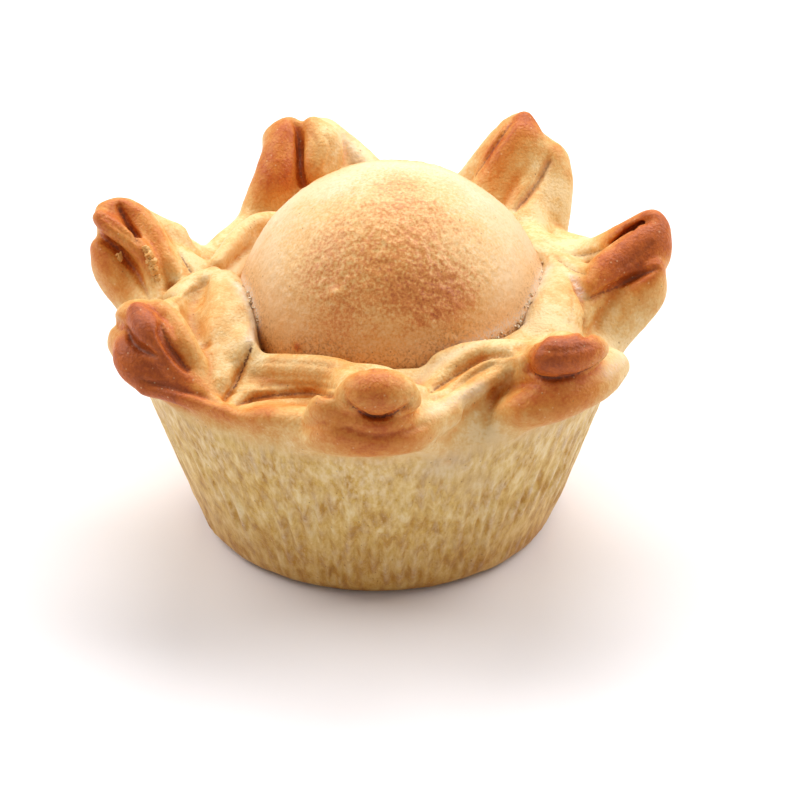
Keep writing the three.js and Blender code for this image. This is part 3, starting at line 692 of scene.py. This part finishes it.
BROWN_SPOTS = [
    (100, 216, 3.5, 0.6), (113, 226, 3.5, 0.2), (128, 240, 3.5, 0.08), (142, 256, 3.5, 0.4),
    (118, 203, 3.5, 0.55), (135, 212, 3.5, 0.5), (150, 235, 3.5, 0.4), (160, 258, 3.0, 0.3),
    (95, 248, 4.5, 0.4), (107, 268, 4.5, 0.35), (125, 290, 4.5, 0.3), (137, 305, 4.0, 0.3),
    (140, 312, 4.5, 1.0), (135, 325, 3.5, 0.8), (155, 335, 4.5, 0.75), (168, 360, 4.0, 0.48),
    (120, 350, 4.5, 0.85), (135, 370, 5.0, 0.85), (155, 382, 4.5, 0.75), (180, 388, 4.5, 0.5),
    (180, 335, 3.0, 0.05), (205, 390, 2.6, 0.2), (170, 398, 3.0, 0.5), (205, 407, 3.0, 0.55),
    (226, 415, 2.5, 0.5), (364, 390, 3.5, 0.34), (378, 384, 3.5, 0.4), (394, 392, 4.0, 0.34),
    (378, 424, 4.5, 0.42), (335, 432, 4.5, 0.45), (360, 443, 5.0, 0.38), (390, 443, 5.0, 0.36),
    (415, 435, 4.0, 0.35), (325, 410, 3.5, 0.4), (312, 428, 3.0, 0.2), (540, 356, 4.5, 0.8),
    (560, 350, 4.5, 0.85), (585, 348, 4.5, 0.8), (525, 400, 5.0, 0.44), (550, 398, 5.5, 0.55),
    (580, 390, 5.0, 0.48), (598, 378, 3.5, 0.3), (610, 272, 4.5, 0.75), (630, 258, 4.5, 1.0),
    (648, 240, 4.5, 0.72), (656, 230, 3.5, 0.3), (625, 232, 3.5, 0.7), (645, 218, 3.5, 0.7),
    (660, 222, 3.5, 0.75), (665, 240, 3.5, 0.75), (655, 275, 4.5, 0.18), (618, 312, 4.0, 0.1),
    (265, 150, 4.5, 0.5), (285, 128, 4.0, 0.65), (262, 175, 4.5, 0.45), (287, 158, 3.5, 0.55),
    (290, 180, 4.0, 0.5), (255, 200, 3.5, 0.3), (308, 125, 3.0, 0.3), (322, 145, 3.0, 0.03),
    (312, 168, 3.5, 0.18), (526, 118, 3.5, 0.75), (515, 128, 3.5, 0.5), (505, 165, 5.0, 0.35),
    (500, 185, 4.0, 0.3), (490, 150, 3.0, 0.55), (557, 150, 3.0, 0.4), (571, 175, 2.5, 0.25),
    (330, 374, 5.0, 0.3), (368, 376, 5.0, 0.4), (280, 374, 5.0, 0.25), (262, 408, 4.5, 0.55),
    (292, 406, 4.0, 0.25), (232, 305, 5.0, 0.15), (224, 330, 5.0, 0.1), (215, 290, 4.0, 0.12),
    (560, 300, 5.0, 0.1), (450, 385, 5.0, 0.15), (480, 370, 5.0, 0.15), (446, 465, 0.5, 0.7),
    (449, 462, 0.4, 0.6),
]
CHALKY_SPOTS = [
    (452, 458, 4.0, 0.7), (436, 470, 3.0, 0.5), (476, 482, 3.0, 0.5), (495, 440, 3.0, 0.3),
]
CRACK_REACH = 1.0
LUMP_SIZE = 5.0
LUMP_HEIGHT = 0.16
FINE_LUMP_SIZE = 1.7
FINE_LUMP_HEIGHT = 0.06
FLOUR_LUMP_SIZE = 0.7
FLOUR_HEIGHT = 0.25
rise += LUMP_HEIGHT * lumps(case_places, LUMP_SIZE)
rise += FINE_LUMP_HEIGHT * lumps(case_places, FINE_LUMP_SIZE, shift=70)
# Creases are pressed in, and darkened along their lines as painted shade.
creased = np.zeros(len(case_places))
for half_width, depth, darkness, pixels in CREASES:
    apart = widths_from_line(case_skin, case_places, half_width, pixels)
    rise -= depth * np.exp(-apart ** 2)
    creased = np.maximum(creased, darkness * np.exp(-2 * apart ** 2))
line_flour_and_highlight = lines_amount(case_skin, case_places, FLOUR_AND_HIGHLIGHT_LINES)
rise += FLOUR_HEIGHT * line_flour_and_highlight * lumps(case_places, FLOUR_LUMP_SIZE)
# Each crack darkens a ragged line along a narrow slit between folds, as painted shade.
crack_side = np.full(len(case_places), CRACK_REACH)
crack_strength = np.zeros(len(case_places))
for strength, pixels in CRACKS:
    line = drawn_line(case_skin, pixels)
    signed, present = side_of_line(case_places, case_outward, line, CRACK_REACH)
    crack_side = np.where(present > 0, signed, crack_side)
    crack_strength = np.maximum(crack_strength, strength * present)

# The horns and the rim are browned in spots, and the tops of the horns on their far side too.
SPOT_BROWNING = 0.85
HORN_BROWNING = 0.6
HORN_FAR_SIDE = (0.2, 0.65)
HORN_HEIGHT = (40, 56)
horn_backs = ease(*HORN_HEIGHT, case_height) * ease(*HORN_FAR_SIDE, case_outward[:, 1])
case_brown = SPOT_BROWNING * spots_amount(case_skin, case_places, BROWN_SPOTS)
case_brown = np.maximum(case_brown, HORN_BROWNING * horn_backs)

# Creases and crests show against the dough when it is softened: over a few millimetres for how deep
# a place lies, and over one for how sharply it bends. Sharp crests are browner; deep places and sharp
# creases are darkened as painted shade.
CREASE_ROUNDS = 10
CREST_ROUNDS = 3
SHARP_CREASE_SHADE = 0.16
CREST_BROWNING = 0.1
CREASE_DEPTH = 0.6
sunk = grid_at(melt(dough, CREASE_ROUNDS), case_places) - grid_at(dough, case_places)
bent = grid_at(melt(dough, CREST_ROUNDS), case_places) - grid_at(dough, case_places)
bent_share = np.clip(np.abs(bent) / (2.5 * bent.std()), 0, 1)

raised = case_places + rise[:, None] * case_outward
raised[:, 2] = np.maximum(raised[:, 2], 0)
set_places(pastry_case, raised)
set_amount(pastry_case, "browned", case_brown)
set_amount(pastry_case, "floury", np.maximum(line_flour_and_highlight, crest_flour_and_flank_light))
set_amount(pastry_case, "chalky", spots_amount(case_skin, case_places, CHALKY_SPOTS))
set_amount(pastry_case, "creased", creased)
set_amount(pastry_case, "wall", wall_share * np.clip(1 - 1.4 * case_brown, 0, 1))
set_amount(pastry_case, "sunk", ease(0.0, CREASE_DEPTH, -sunk))
set_amount(pastry_case, "bent", np.where(bent < 0, SHARP_CREASE_SHADE, CREST_BROWNING) * bent_share)
set_amount(pastry_case, "crack_side", crack_side)
set_amount(pastry_case, "crack_strength", crack_strength)

CASE_TRIANGLES = 195000
select_only(pastry_case)
thinner = pastry_case.modifiers.new("thinner", "DECIMATE")
thinner.ratio = CASE_TRIANGLES / sum(len(face.vertices) - 2 for face in pastry_case.data.polygons)
bpy.ops.object.modifier_apply(modifier=thinner.name)
bpy.ops.object.shade_smooth()


def hex_colour(code):
    """A linear colour from an sRGB hex value."""
    shares = [int(code[start:start + 2], 16) / 255 for start in (1, 3, 5)]
    linear = [s / 12.92 if s <= 0.04045 else ((s + 0.055) / 1.055) ** 2.4 for s in shares]
    return (*linear, 1)


def add_node(tree, kind, settings=None, links=None, output=0):
    """Adds a shader node and gives one of its outputs. Its settings are properties, values or hex
    colours of sockets, and the stops of a colour ramp, and its links feed its sockets."""
    node = tree.nodes.new("ShaderNode" + kind)
    for name, value in (settings or {}).items():
        if name == "stops":
            for _ in value[2:]:
                node.color_ramp.elements.new(0.5)
            for element, (place, code) in zip(node.color_ramp.elements, value):
                element.position = place
                element.color = hex_colour(code)
        elif isinstance(name, str) and hasattr(node, name):
            setattr(node, name, value)
        else:
            node.inputs[name].default_value = hex_colour(value) if isinstance(value, str) else value
    for socket, source in (links or {}).items():
        tree.links.new(source, node.inputs[socket])
    return node.outputs[output]


def new_material(name, amounts=()):
    """A material, its tree and shader, the place on the piece in millimetres and what is laid there."""
    material = bpy.data.materials.new(name)
    material.use_nodes = True
    tree = material.node_tree
    metres = add_node(tree, "TexCoord", output="Object")
    place = add_node(tree, "VectorMath", {"operation": "SCALE", "Scale": 1 / MILLIMETRE}, {0: metres})
    laid = {key: add_node(tree, "Attribute", {"attribute_name": key}, output="Fac") for key in amounts}
    return material, tree, tree.nodes["Principled BSDF"], place, laid


def speckled(tree, place, colour):
    """Strews a colour with small pale specks and dark dots."""
    for spacing, rim, core, most, code in (SPECKS, DOTS):
        apart = add_node(tree, "TexVoronoi", {"Scale": 1 / spacing}, {"Vector": place})
        amount = add_node(tree, "MapRange", {"From Min": rim, "From Max": core, "To Max": most}, {0: apart})
        colour = add_node(tree, "Mix", {"data_type": "RGBA", 7: code}, {0: amount, 6: colour}, 2)
    return colour


# Shortcrust pastry, rolled, pinched and baked: pale cream-yellow where it stayed soft, gold to
# red-brown where it stood up into the heat, ochre with floury flecks on the wall, a slight satin
# sheen. Flour's own grain is too fine to show, so it is drawn as coarse as it needs. Specks and dots
# have their spacing, the shares of it that their rim and core reach, how much shows, and a colour.
BLOTCH_SIZE = 6.0
MOTTLE_SIZE = 1.6
GRAIN_SIZE = 0.45
STREAK_WIDTH = 1.8
STREAK_STRETCH = 0.3
FLECK_WIDTH = 0.75
FLECK_STRETCH = 0.28
SPECKS = (1.4, 0.14, 0.06, 0.35, "#eccf9c")
DOTS = (2.3, 0.075, 0.05, 0.6, "#8a5226")
GRAIN_DEPTH = 0.2
# How far the deep places are darkened, as painted shade.
SUNK_SHADE = 0.36
FOOT_HEIGHT = 16
FLECK_HEIGHTS = (2, 26)
DOUGH_STOPS = [
    (0.0, "#e8ca96"), (0.12, "#e0b878"), (0.28, "#d8a058"),
    (0.52, "#cd7f31"), (0.76, "#b95b16"), (1.0, "#97420b"),
]
WALL_STOPS = [(0.3, "#ad7a2b"), (0.43, "#c4943c"), (0.55, "#d9b464"), (0.7, "#ebd297")]
FOOT_TINT = "#d6ac58"
FLECK_COLOUR = "#eedbb2"
CHALK_COLOUR = "#cfb696"
FLOUR_AND_HIGHLIGHT_COLOUR = "#efe4d2"
SLIT_SHADE_COLOUR = "#6a3719"
pastry, tree, shader, place, laid = new_material("baked_shortcrust_pastry", (
    "browned", "floury", "chalky", "creased", "wall", "sunk", "bent", "crack_side", "crack_strength",
))
upright = add_node(tree, "VectorMath", {"operation": "MULTIPLY", 1: (1, 1, STREAK_STRETCH)}, {0: place})
oblong = add_node(tree, "VectorMath", {"operation": "MULTIPLY", 1: (1, 1, FLECK_STRETCH)}, {0: place})
height = add_node(tree, "SeparateXYZ", {}, {0: place}, 2)
blotch = add_node(tree, "TexNoise", {"Scale": 1 / BLOTCH_SIZE, "Detail": 3}, {"Vector": place})
mottle = add_node(tree, "TexNoise", {"Scale": 1 / MOTTLE_SIZE, "Detail": 4}, {"Vector": place})
grain = add_node(tree, "TexNoise", {"Scale": 1 / GRAIN_SIZE, "Detail": 3}, {"Vector": place})
streak = add_node(tree, "TexNoise", {"Scale": 1 / STREAK_WIDTH, "Detail": 5, "Roughness": 0.65},
                  {"Vector": upright})
fleck = add_node(tree, "TexNoise", {"Scale": 1 / FLECK_WIDTH, "Detail": 4, "Roughness": 0.6},
                 {"Vector": oblong})

# How brown the dough is: where it was browned, unevenly, and more on its crests; its hollows and
# sharp creases are darkened on the same scale, as painted shade.
uneven = add_node(tree, "Math", {"operation": "MULTIPLY_ADD", 1: 0.5, 2: -0.25}, {0: blotch})
uneven = add_node(tree, "Math", {"operation": "MULTIPLY_ADD", 1: 0.45}, {0: mottle, 2: uneven})
uneven = add_node(tree, "Math", {"operation": "MULTIPLY_ADD", 1: 0.4}, {0: grain, 2: uneven})
uneven = add_node(tree, "Math", {"operation": "SUBTRACT", 1: 0.4}, {0: uneven})
tone = add_node(tree, "Math", {"operation": "ADD"}, {0: laid["browned"], 1: uneven})
tone = add_node(tree, "Math", {"operation": "MULTIPLY_ADD", 1: SUNK_SHADE, "use_clamp": True},
                 {0: laid["sunk"], 2: tone})
tone = add_node(tree, "Math", {"operation": "ADD", "use_clamp": True}, {0: laid["bent"], 1: tone})
dough_colour = add_node(tree, "ValToRGB", {"stops": DOUGH_STOPS}, {0: tone})

# The wall: upright streaks, deeper at its foot, floury flecks higher up and a chalky patch.
wall_colour = add_node(tree, "ValToRGB", {"stops": WALL_STOPS}, {0: streak})
foot = add_node(tree, "MapRange", {"From Min": FOOT_HEIGHT, "From Max": 0, "To Max": 0.65}, {0: height})
wall_colour = add_node(tree, "Mix", {"data_type": "RGBA", "blend_type": "MULTIPLY", 7: FOOT_TINT},
                       {0: foot, 6: wall_colour}, 2)
flecked = add_node(tree, "MapRange", {"From Min": 0.38, "From Max": 0.78}, {0: fleck})
higher = add_node(tree, "MapRange", {
    "From Min": FLECK_HEIGHTS[0], "From Max": FLECK_HEIGHTS[1], "To Min": 0.12, "To Max": 0.95,
}, {0: height})
patchy = add_node(tree, "MapRange", {"From Min": 0.38, "From Max": 0.6, "To Min": 0.35}, {0: blotch})
flecked = add_node(tree, "Math", {"operation": "MULTIPLY"}, {0: higher, 1: flecked})
flecked = add_node(tree, "Math", {"operation": "MULTIPLY"}, {0: flecked, 1: patchy})
wall_colour = add_node(tree, "Mix", {"data_type": "RGBA", 7: FLECK_COLOUR}, {0: flecked, 6: wall_colour}, 2)
chalk = add_node(tree, "Math", {"operation": "MULTIPLY", 1: 0.65}, {0: laid["chalky"]})
wall_colour = add_node(tree, "Mix", {"data_type": "RGBA", 7: CHALK_COLOUR}, {0: chalk, 6: wall_colour}, 2)
colour = add_node(tree, "Mix", {"data_type": "RGBA"}, {0: laid["wall"], 6: dough_colour, 7: wall_colour}, 2)

# Over both lie flour, in places a painted highlight, specks and dots, and the ragged dark cracks
# and creases, which are painted shade.
dust_and_highlight = add_node(tree, "Math", {"operation": "MULTIPLY_ADD", 1: 2.2, 2: -0.5, "use_clamp": True},
                   {0: grain})
dust_and_highlight = add_node(tree, "Math", {"operation": "MULTIPLY", "use_clamp": True},
                   {0: dust_and_highlight, 1: laid["floury"]})
colour = add_node(tree, "Mix", {"data_type": "RGBA", 7: FLOUR_AND_HIGHLIGHT_COLOUR}, {0: dust_and_highlight, 6: colour}, 2)
colour = speckled(tree, place, colour)
aside = add_node(tree, "Math", {"operation": "ABSOLUTE"}, {0: laid["crack_side"]})
ragged = add_node(tree, "Math", {"operation": "MULTIPLY_ADD", 1: 0.9, 2: -0.3}, {0: grain})
crack_shade = add_node(tree, "Math", {"operation": "SUBTRACT"}, {0: ragged, 1: aside})
crack_shade = add_node(tree, "Math", {"operation": "MULTIPLY", 1: 9, "use_clamp": True}, {0: crack_shade})
crack_shade = add_node(tree, "Math", {"operation": "MULTIPLY"}, {0: crack_shade, 1: laid["crack_strength"]})
shade = add_node(tree, "Math", {"operation": "MULTIPLY", 1: 0.35}, {0: laid["creased"]})
shade = add_node(tree, "Math", {"operation": "MULTIPLY_ADD", 1: 0.8, "use_clamp": True},
                 {0: crack_shade, 2: shade})
colour = add_node(tree, "Mix", {"data_type": "RGBA", 7: SLIT_SHADE_COLOUR}, {0: shade, 6: colour}, 2)
tree.links.new(colour, shader.inputs["Base Color"])
roughness = add_node(tree, "Math", {"operation": "MULTIPLY_ADD", 1: 0.3, 2: 0.48}, {0: dust_and_highlight})
tree.links.new(roughness, shader.inputs["Roughness"])
shader.inputs["IOR"].default_value = 1.4
shader.inputs["Specular IOR Level"].default_value = 0.5
bump = add_node(tree, "Bump", {"Strength": 0.85, "Distance": GRAIN_DEPTH * MILLIMETRE}, {"Height": grain})
tree.links.new(bump, shader.inputs["Normal"])
pastry_case.data.materials.append(pastry)
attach(pastry_case, "root")
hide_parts("case")

# The lid. A round of the same pastry, laid over the filling and pressed into the pleats all round.
# In the oven it swelled into a dome, blistered and browned on top.
LID_OFFSET = 2.6
LID_RADIUS = 25.5
LID_RISE = 26.4
LID_SPRING = 34.2
LID_FLOOR = 31.0
LID_COLUMNS = 400
LID_ROWS = 220
LID_BROWN_SPOTS = [
    (378, 246, 16.0, 0.36), (438, 287, 6.5, 0.55), (405, 278, 5.5, 0.15), (408, 195, 6.5, 0.28),
    (340, 262, 9.0, 0.2), (465, 235, 7.0, 0.1), (340, 315, 8.0, 0.15), (298, 347, 0.8, 0.6),
    (422, 322, 0.8, 0.4), (437, 315, 0.7, 0.5),
]
LID_FLOUR_AND_SHEEN_LINES = [
    (1.0, 0.9, [(241, 276), (252, 300), (258, 322), (256, 340)]),
    (1.1, 0.7, [(424, 377), (445, 357), (468, 345), (494, 333), (520, 317)]),
    (1.0, 0.9, [(546, 260), (537, 283), (528, 304), (520, 322)]),
    # A broad pale band over the top of the dome, drawn like flour: a painted sheen.
    (4.0, 0.45, [(340, 186), (375, 171), (410, 167), (450, 176), (480, 196)]),
]
LID_BUMPS = [(337, 294, 1.0, 0.7), (299, 347, 0.5, 0.3)]
LID_BACK_BROWNING = 0.38
LID_BACK = (4, 14)
LID_BACK_HEIGHT = (40, 54)
LID_EDGE = (0.5, 5.0)
SWELL_SIZE = 9.0
SWELL_HEIGHT = 0.3
BLISTER_SIZE = 1.3
BLISTER_HEIGHT = 0.15
FINE_BLISTER_SIZE = 0.8
FINE_BLISTER_HEIGHT = 0.14
EDGE_LUMP_SIZE = 0.6
EDGE_LUMP_HEIGHT = 0.12
LUMPY_EDGE = (0.3, 1.5)


def named(name):
    """The object that the last operator added, under its own name."""
    added = bpy.context.object
    added.name = name
    added.data.name = name
    return added


bpy.ops.object.select_all(action="DESELECT")
bpy.ops.mesh.primitive_uv_sphere_add(segments=LID_COLUMNS, ring_count=LID_ROWS, radius=1)
pastry_lid = named("pastry_lid")
ball = places_of(pastry_lid)
stretch = np.where(ball[:, 2] > 0, LID_RISE, LID_SPRING - LID_FLOOR)
dome = np.column_stack([
    LID_OFFSET + LID_RADIUS * ball[:, 0], LID_RADIUS * ball[:, 1], LID_SPRING + stretch * ball[:, 2]
])
set_places(pastry_lid, dome)
dome_outward = outward_of(pastry_lid)
dome_skin = skin_tree(pastry_lid)
raised_case_skin = skin_tree(pastry_case)
lid_back = ease(*LID_BACK_HEIGHT, dome[:, 2]) * ease(*LID_BACK, dome[:, 1])
lid_brown = spots_amount(dome_skin, dome, LID_BROWN_SPOTS)
lid_brown = np.maximum(lid_brown, LID_BACK_BROWNING * lid_back)
from_case = np.array([raised_case_skin.find_nearest(point)[3] for point in dome.tolist()])
blistered = np.clip(0.45 + lid_brown, 0, 1)
blisters = BLISTER_HEIGHT * lumps(dome, BLISTER_SIZE)
blisters += FINE_BLISTER_HEIGHT * lumps(dome, FINE_BLISTER_SIZE, shift=30)
rise = SWELL_HEIGHT * lumps(dome, SWELL_SIZE) + blistered * blisters
rise += EDGE_LUMP_HEIGHT * (1 - ease(*LUMPY_EDGE, from_case)) * lumps(dome, EDGE_LUMP_SIZE)
for column, row, size, bump_height in LID_BUMPS:
    middle = np.array(touched(dome_skin, column, row)[0])
    rise += bump_height * np.exp(-(np.linalg.norm(dome - middle, axis=1) / size) ** 2)
set_places(pastry_lid, dome + rise[:, None] * dome_outward)
set_amount(pastry_lid, "browned", lid_brown)
set_amount(pastry_lid, "edge", 1 - ease(*LID_EDGE, from_case))
set_amount(pastry_lid, "floury", lines_amount(dome_skin, dome, LID_FLOUR_AND_SHEEN_LINES))
bpy.ops.object.shade_smooth()

# Pastry crust, baked in dry heat: gold, freckled red-brown between tiny pale blisters, deeper low
# down, dull and floury at its edge, and a pale painted sheen over its top, drawn like flour. Its
# freckles are drawn as coarse as they need to show.
LID_BLOTCH_SIZE = 7.0
FRECKLE_SIZE = 0.5
LID_GRAIN_SIZE = 0.4
FRECKLE_DEPTH = 0.2
GOLDEN_HEIGHTS = (52, 36)
CRUST_STOPS = [
    (0.0, "#e9ca9b"), (0.28, "#e1b069"), (0.52, "#d0863b"), (0.8, "#b86322"), (1.0, "#984915"),
]
DULL_COLOUR = "#a3763f"
GOLDEN_TINT = "#e6a84a"
LID_FLOUR_AND_SHEEN_COLOUR = "#efe6d8"
crust, tree, shader, place, laid = new_material("browned_pastry_crust", ("browned", "edge", "floury"))
height = add_node(tree, "SeparateXYZ", {}, {0: place}, 2)
blotch = add_node(tree, "TexNoise", {"Scale": 1 / LID_BLOTCH_SIZE, "Detail": 4}, {"Vector": place})
freckle = add_node(tree, "TexNoise", {"Scale": 1 / FRECKLE_SIZE, "Detail": 4, "Roughness": 0.65},
                   {"Vector": place})
grain = add_node(tree, "TexNoise", {"Scale": 1 / LID_GRAIN_SIZE, "Detail": 3}, {"Vector": place})
spread = add_node(tree, "Math", {"operation": "MULTIPLY_ADD", 1: 0.5, 2: -0.25}, {0: blotch})
freckled = add_node(tree, "Math", {"operation": "MULTIPLY_ADD", 1: 2.3, 2: -1.15}, {0: freckle})
most = add_node(tree, "Math", {"operation": "MULTIPLY_ADD", 1: 0.8, 2: 0.25}, {0: laid["browned"]})
freckled = add_node(tree, "Math", {"operation": "MULTIPLY"}, {0: freckled, 1: most})
tone = add_node(tree, "Math", {"operation": "ADD"}, {0: laid["browned"], 1: spread})
tone = add_node(tree, "Math", {"operation": "ADD", "use_clamp": True}, {0: tone, 1: freckled})
colour = add_node(tree, "ValToRGB", {"stops": CRUST_STOPS}, {0: tone})
dull = add_node(tree, "Math", {"operation": "MULTIPLY_ADD", 1: 4, 2: -1.9, "use_clamp": True}, {0: grain})
dull = add_node(tree, "Math", {"operation": "MULTIPLY"}, {0: dull, 1: laid["edge"]})
colour = add_node(tree, "Mix", {"data_type": "RGBA", 7: DULL_COLOUR}, {0: dull, 6: colour}, 2)
golden = add_node(tree, "MapRange", {
    "From Min": GOLDEN_HEIGHTS[0], "From Max": GOLDEN_HEIGHTS[1], "To Max": 0.95,
}, {0: height})
colour = add_node(tree, "Mix", {"data_type": "RGBA", "blend_type": "MULTIPLY", 7: GOLDEN_TINT},
                  {0: golden, 6: colour}, 2)
dust_and_highlight = add_node(tree, "Math", {"operation": "MULTIPLY_ADD", 1: 2.6, 2: -0.9, "use_clamp": True},
                   {0: grain})
dust_and_highlight = add_node(tree, "Math", {"operation": "MULTIPLY"}, {0: dust_and_highlight, 1: laid["floury"]})
colour = add_node(tree, "Mix", {"data_type": "RGBA", 7: LID_FLOUR_AND_SHEEN_COLOUR}, {0: dust_and_highlight, 6: colour}, 2)
tree.links.new(speckled(tree, place, colour), shader.inputs["Base Color"])
shader.inputs["Roughness"].default_value = 0.45
shader.inputs["Specular IOR Level"].default_value = 0.7
shader.inputs["IOR"].default_value = 1.45
bump = add_node(tree, "Bump", {"Strength": 0.6, "Distance": FRECKLE_DEPTH * MILLIMETRE}, {"Height": freckle})
tree.links.new(bump, shader.inputs["Normal"])
pastry_lid.data.materials.append(crust)
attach(pastry_lid, "root")
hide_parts("lid")

# The dry crumbs along the joint. Flour and scraps of dough that were caught between the lid and the
# pleats and baked on: rough grains, thickest against the two cheeks and at the front right. A line
# of the joint has its count of crumbs and its pixels.
JOINT_LINES = [
    (130, [(239, 284), (249, 305), (254, 326), (251, 342)]),
    (150, [(418, 384), (443, 360), (467, 347), (493, 335), (526, 318)]),
    (90, [(549, 266), (538, 287), (529, 306), (522, 326)]),
]
JOINT_GAP = 0.9
JOINT_FOOT = 35
JOINT_PIXELS = 26
CLOSE_PIXELS = 5
CRUMB_LEAST = 0.09
CRUMB_MOST = 0.28
CRUMB_SPREAD = 0.15
CRUMB_ROUGHNESS = 0.6
CRUMB_SQUEEZE = (0.6, 1.3)
GRAIN_LUMP_SHARE = 0.7
GRAIN_SHIFT = 50


def rough_grain(ball, size, roughness, squeeze):
    """A grain from a ball: lumpy, and squeezed by its own share along each axis."""
    lumpy = 1 + roughness * lumps(ball, GRAIN_LUMP_SHARE, shift=GRAIN_SHIFT * draw.random(3))
    return size * (ball * lumpy[:, None] * draw.uniform(*squeeze, 3))


def set_grains(piece, grains):
    """Makes a piece, now one ball, into many grains with that ball's faces."""
    ball_faces = np.array([tuple(face.vertices) for face in piece.data.polygons])
    faces = np.concatenate([ball_faces + len(grain) * index for index, grain in enumerate(grains)])
    piece.data.clear_geometry()
    piece.data.from_pydata((np.concatenate(grains) * MILLIMETRE).tolist(), [], faces.tolist())
    bpy.ops.object.shade_smooth()


bpy.ops.object.select_all(action="DESELECT")
bpy.ops.mesh.primitive_ico_sphere_add(subdivisions=2, radius=1)
pastry_crumbs = named("pastry_crumbs")
ball = places_of(pastry_crumbs)
draw = np.random.default_rng(7)
lid_places = places_of(pastry_lid) / MILLIMETRE
joint = lid_places[(from_case < JOINT_GAP) & (lid_places[:, 2] > JOINT_FOOT)]
from_eye = joint - EYE
scale = FOCAL_PIXELS / (from_eye @ VIEW_FORWARD)
joint_pixels = np.column_stack([
    PHOTO_WIDTH / 2 + scale * (from_eye @ VIEW_RIGHT), PHOTO_HEIGHT / 2 - scale * (from_eye @ VIEW_UP)
])
crumbs = []
for count, pixels in JOINT_LINES:
    for _ in range(count):
        aim = smooth_path(pixels, draw.random())
        off = np.linalg.norm(joint_pixels - aim, axis=1)
        if off.min() > JOINT_PIXELS:
            continue
        size = CRUMB_LEAST + (CRUMB_MOST - CRUMB_LEAST) * draw.random() ** 2
        crumb = rough_grain(ball, size, CRUMB_ROUGHNESS, CRUMB_SQUEEZE)
        close = np.nonzero(off < off.min() + CLOSE_PIXELS)[0]
        crumbs.append(joint[draw.choice(close)] + draw.normal(0, CRUMB_SPREAD, 3) + crumb)
set_grains(pastry_crumbs, crumbs)

# Flour, baked dry: off-white to straw, with no shine.
FLOUR_PATCH = 0.8
FLOUR_STOPS = [(0.35, "#a97d4e"), (0.47, "#d2b488"), (0.6, "#ebdfca")]
flour, tree, shader, place, _ = new_material("baked_flour")
patches = add_node(tree, "TexNoise", {"Scale": 1 / FLOUR_PATCH, "Detail": 2}, {"Vector": place})
colour = add_node(tree, "ValToRGB", {"stops": FLOUR_STOPS}, {0: patches})
tree.links.new(colour, shader.inputs["Base Color"])
shader.inputs["Roughness"].default_value = 0.85
pastry_crumbs.data.materials.append(flour)
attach(pastry_crumbs, "root")

# The scraps on the left horn. A torn edge of the same dough that curled up and dried on the fold,
# and one loose crumb beside it, both baked on. Each grain has its pixel and its size.
SCRAPS = [
    (146, 249, 0.7), (148, 252, 0.6), (149, 255, 0.9), (150, 258, 0.7), (151, 261, 0.9),
    (152, 264, 0.6), (153, 267, 0.7), (154, 270, 0.8), (155, 273, 0.6), (157, 276, 0.6),
    (158, 279, 0.4), (147, 256, 0.5), (119, 258, 0.9), (117, 256, 0.6),
]
SCRAP_LIFT = 0.25
SCRAP_BROWNING = 0.25
SCRAP_ROUGHNESS = 0.8
SCRAP_SQUEEZE = (0.5, 1.0)

bpy.ops.object.select_all(action="DESELECT")
bpy.ops.mesh.primitive_ico_sphere_add(subdivisions=3, radius=1)
pastry_scraps = named("pastry_scraps")
ball = places_of(pastry_scraps)
scraps = []
for column, row, size in SCRAPS:
    spot, lifted = touched(raised_case_skin, column, row)
    scrap = rough_grain(ball, size, SCRAP_ROUGHNESS, SCRAP_SQUEEZE)
    scraps.append(np.array(spot + SCRAP_LIFT * size * lifted) + scrap)
set_grains(pastry_scraps, scraps)
set_amount(pastry_scraps, "browned", np.full(len(pastry_scraps.data.vertices), SCRAP_BROWNING))
pastry_scraps.data.materials.append(pastry)
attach(pastry_scraps, "root")

# The studio. A wide matt white board for the floor, white light from all round, and three broad soft
# lamps above the pie, one behind it and one on each side.
FLOOR_SIZE = 4
FLOOR_COLOUR = "#ebe7e8"
ROOM_LIGHT = 0.43
LAMP_SIZE = 0.5
LAMP_AIM = Vector((0, 0, 0.03))
LAMPS = {
    "back_lamp": (Vector((0.04, 0.42, 0.6)), 4.1),
    "left_lamp": (Vector((-0.54, 0.16, 0.55)), 3.8),
    "right_lamp": (Vector((0.56, 0.16, 0.55)), 4.0),
}

bpy.ops.object.select_all(action="DESELECT")
bpy.ops.mesh.primitive_plane_add(size=FLOOR_SIZE)
floor = named("studio_floor")
board = bpy.data.materials.new("matt_white_board")
board.use_nodes = True
shader = board.node_tree.nodes["Principled BSDF"]
shader.inputs["Base Color"].default_value = hex_colour(FLOOR_COLOUR)
shader.inputs["Roughness"].default_value = 0.8
floor.data.materials.append(board)

world = bpy.data.worlds.new("studio")
bpy.context.scene.world = world
world.use_nodes = True
background = world.node_tree.nodes["Background"]
background.inputs["Color"].default_value = (1, 1, 1, 1)
background.inputs["Strength"].default_value = ROOM_LIGHT

for name, (lamp_place, power) in LAMPS.items():
    bpy.ops.object.light_add(type="AREA", location=lamp_place)
    lamp = bpy.context.object
    lamp.name = name
    lamp.data.size = LAMP_SIZE
    lamp.data.energy = power
    lamp.rotation_euler = (LAMP_AIM - lamp_place).to_track_quat("-Z", "Y").to_euler()
bpy.context.scene.view_settings.view_transform = "Standard"
